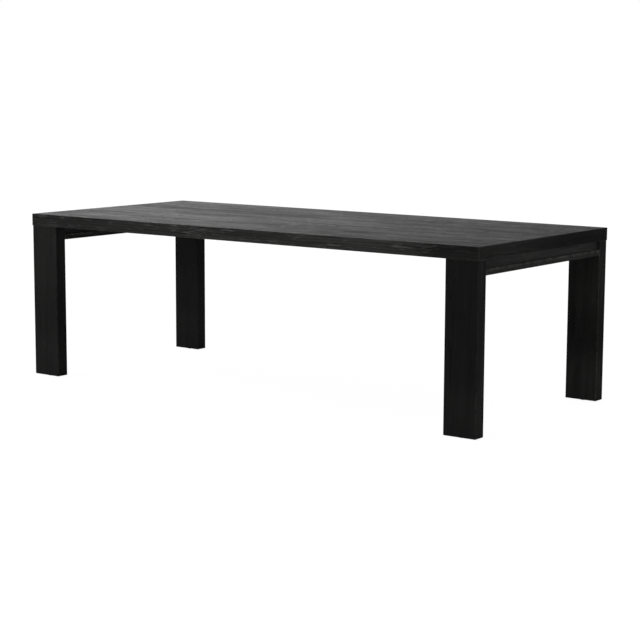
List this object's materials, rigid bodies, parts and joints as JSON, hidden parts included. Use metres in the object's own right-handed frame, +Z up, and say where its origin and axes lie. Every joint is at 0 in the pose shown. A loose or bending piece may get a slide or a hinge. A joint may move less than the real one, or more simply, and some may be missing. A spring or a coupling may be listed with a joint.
{
  "type": "parsons dining table",
  "caption": "Long rectangular dining table: a thick mitred slab top lies flush on plank legs at its corners, with a low recessed beam across each short end.",
  "frame": {"origin": "on the floor, under the middle of the table", "axes": "+X along the length to the right end, +Y across to the back, +Z up"},
  "size_m": [2.438, 1.067, 0.762],
  "materials": {
    "black_oak": "black stain on open-pored oak under a satin lacquer",
    "stained_board": "matt black stain",
    "core_timber": "planed, bare",
    "joint_wood": "turned or milled, bare",
    "zinc_steel": "bright zinc plating",
    "black_nylon": "moulded, matt"
  },
  "bodies": {
    "table": {"top_panel": "black_oak", "front_edge": "black_oak", "right_edge": "black_oak", "back_edge": "black_oak", "left_edge": "black_oak", "underside_panel": "stained_board", "right_end_core": "core_timber", "left_end_core": "core_timber", "front_core_rail": "core_timber", "back_core_rail": "core_timber", "core_rib_1": "core_timber", "core_rib_2": "core_timber", "core_rib_3": "core_timber", "core_rib_4": "core_timber", "core_rib_5": "core_timber", "left_bottom_board": "black_oak", "left_apron": "black_oak", "left_inner_rail": "black_oak", "left_front_block": "core_timber", "left_middle_block": "core_timber", "left_back_block": "core_timber", "left_loose_tenons": "joint_wood", "left_leg_dowels": "joint_wood", "left_frame_bolts": "zinc_steel", "left_bolt_washers": "zinc_steel", "left_top_inserts": "zinc_steel", "right_bottom_board": "black_oak", "right_apron": "black_oak", "right_inner_rail": "black_oak", "right_front_block": "core_timber", "right_middle_block": "core_timber", "right_back_block": "core_timber", "right_loose_tenons": "joint_wood", "right_leg_dowels": "joint_wood", "right_frame_bolts": "zinc_steel", "right_bolt_washers": "zinc_steel", "right_top_inserts": "zinc_steel", "front_left_leg": "black_oak", "front_right_leg": "black_oak", "back_left_leg": "black_oak", "back_right_leg": "black_oak", "foot_inserts": "zinc_steel"},
    "front_left_pad": {"front_left_foot_pad": "black_nylon"},
    "front_left_stem": {"front_left_foot_stem": "zinc_steel"},
    "front_right_pad": {"front_right_foot_pad": "black_nylon"},
    "front_right_stem": {"front_right_foot_stem": "zinc_steel"},
    "back_left_pad": {"back_left_foot_pad": "black_nylon"},
    "back_left_stem": {"back_left_foot_stem": "zinc_steel"},
    "back_right_pad": {"back_right_foot_pad": "black_nylon"},
    "back_right_stem": {"back_right_foot_stem": "zinc_steel"}
  },
  "joints": [
    {"name": "front_left_pad_travel", "type": "slide", "parent": "table", "child": "front_left_pad", "axis": [0, 0, -1], "range_m": [0, 0.01]},
    {"name": "front_left_stem_turn", "type": "hinge", "parent": "front_left_pad", "child": "front_left_stem", "pos_m": [-1.142, -0.5015, 0.03], "axis": [0, 0, -1], "range_deg": [0, 2880]},
    {"name": "front_right_pad_travel", "type": "slide", "parent": "table", "child": "front_right_pad", "axis": [0, 0, -1], "range_m": [0, 0.01]},
    {"name": "front_right_stem_turn", "type": "hinge", "parent": "front_right_pad", "child": "front_right_stem", "pos_m": [1.142, -0.5015, 0.03], "axis": [0, 0, -1], "range_deg": [0, 2880]},
    {"name": "back_left_pad_travel", "type": "slide", "parent": "table", "child": "back_left_pad", "axis": [0, 0, -1], "range_m": [0, 0.01]},
    {"name": "back_left_stem_turn", "type": "hinge", "parent": "back_left_pad", "child": "back_left_stem", "pos_m": [-1.142, 0.5015, 0.03], "axis": [0, 0, -1], "range_deg": [0, 2880]},
    {"name": "back_right_pad_travel", "type": "slide", "parent": "table", "child": "back_right_pad", "axis": [0, 0, -1], "range_m": [0, 0.01]},
    {"name": "back_right_stem_turn", "type": "hinge", "parent": "back_right_pad", "child": "back_right_stem", "pos_m": [1.142, 0.5015, 0.03], "axis": [0, 0, -1], "range_deg": [0, 2880]}
  ],
  "couplings": [
    {"joint": "front_left_stem_turn", "follows": "front_left_pad_travel", "rad_per_m": 5026.5},
    {"joint": "front_right_stem_turn", "follows": "front_right_pad_travel", "rad_per_m": 5026.5},
    {"joint": "back_left_stem_turn", "follows": "back_left_pad_travel", "rad_per_m": 5026.5},
    {"joint": "back_right_stem_turn", "follows": "back_right_pad_travel", "rad_per_m": 5026.5}
  ]
}
